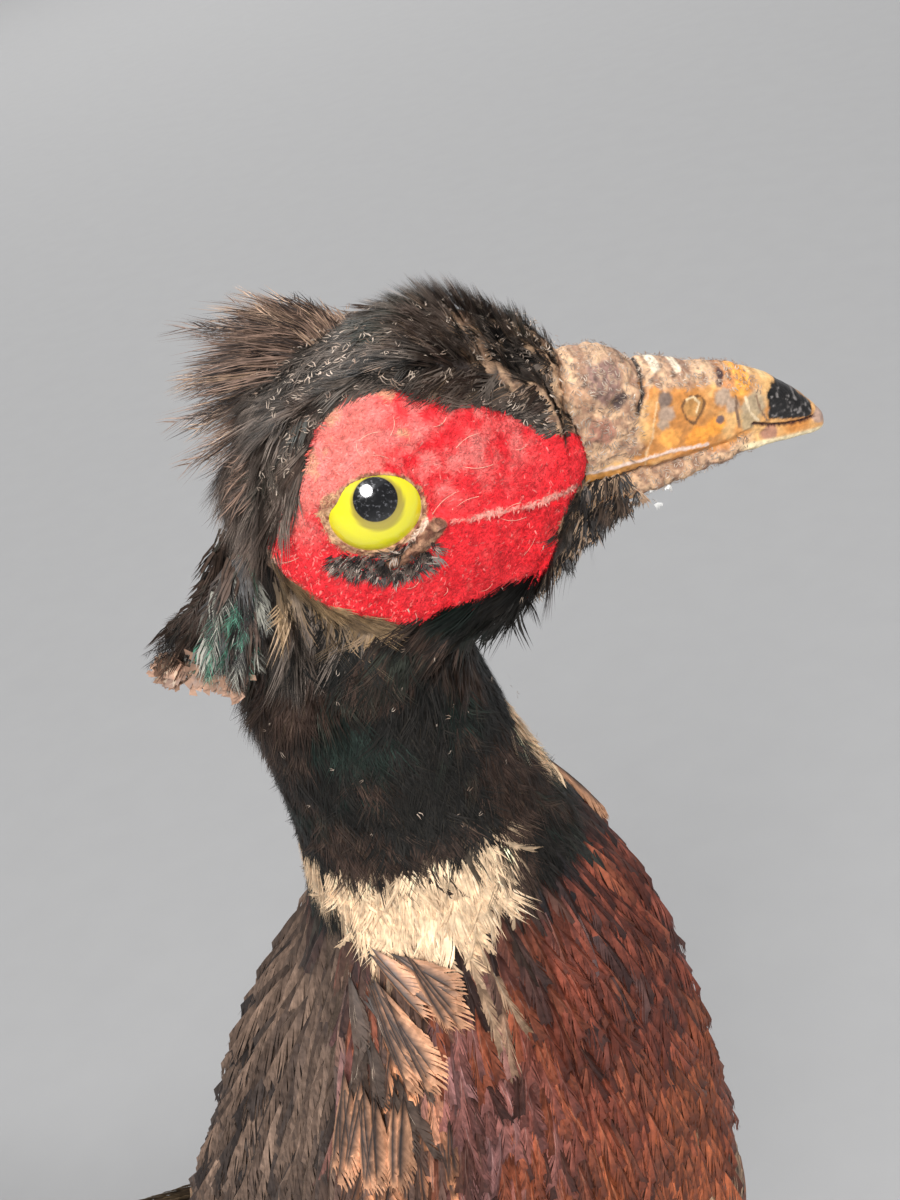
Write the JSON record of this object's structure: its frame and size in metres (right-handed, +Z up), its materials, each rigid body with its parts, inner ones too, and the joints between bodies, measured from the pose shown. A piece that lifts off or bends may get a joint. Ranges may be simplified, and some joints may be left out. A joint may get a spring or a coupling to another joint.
{
  "type": "taxidermy pheasant",
  "caption": "Life-size mounted cock ring-necked pheasant, standing with its head turned to its left, on a plain wooden plinth.",
  "frame": {"origin": "centre of the plinth's flat underside", "axes": "+X the way the body faces, away from the tail; +Y the bird's left side; +Z up"},
  "size_m": [0.7304, 0.19, 0.4442],
  "materials": {
    "dark_feather": "black-brown head and neck feathers, faint green gloss",
    "crest_feather": "loose brown hair-like feathers with pale shafts",
    "chestnut_feather": "chestnut breast and flank feathers with dark edges",
    "wing_feather": "grey-brown barred wing feathers",
    "tail_feather": "buff tail feathers with dark bars",
    "thigh_feather": "dark brown thigh feathers",
    "wattle": "bright red flocked face skin, matt",
    "horn": "worn amber-brown bill horn",
    "leg_scale": "grey-buff scaled leg skin",
    "claw": "dark horn, satin",
    "glass_eye": "yellow glass eye with a black pupil, polished and opaque",
    "plinth_wood": "dark stained hardwood, satin varnish"
  },
  "bodies": {
    "root": {"bill_lower": "horn", "bill_upper": "horn", "claw_left_hind": "claw", "claw_left_inner": "claw", "claw_left_middle": "claw", "claw_left_outer": "claw", "claw_right_hind": "claw", "claw_right_inner": "claw", "claw_right_middle": "claw", "claw_right_outer": "claw", "crest_tuft": "crest_feather", "eye_left": "glass_eye", "eye_right": "glass_eye", "flap_left": "dark_feather", "flap_right": "dark_feather", "foot_left": "leg_scale", "foot_right": "leg_scale", "head": "dark_feather", "neck": "dark_feather", "rump": "chestnut_feather", "shank_left": "leg_scale", "shank_right": "leg_scale", "spur_left": "claw", "spur_right": "claw", "stand_base": "plinth_wood", "tail": "tail_feather", "thigh_left": "thigh_feather", "thigh_right": "thigh_feather", "trunk": "chestnut_feather", "wattle_left": "wattle", "wattle_right": "wattle", "wing_left": "wing_feather", "wing_right": "wing_feather"}
  },
  "joints": []
}
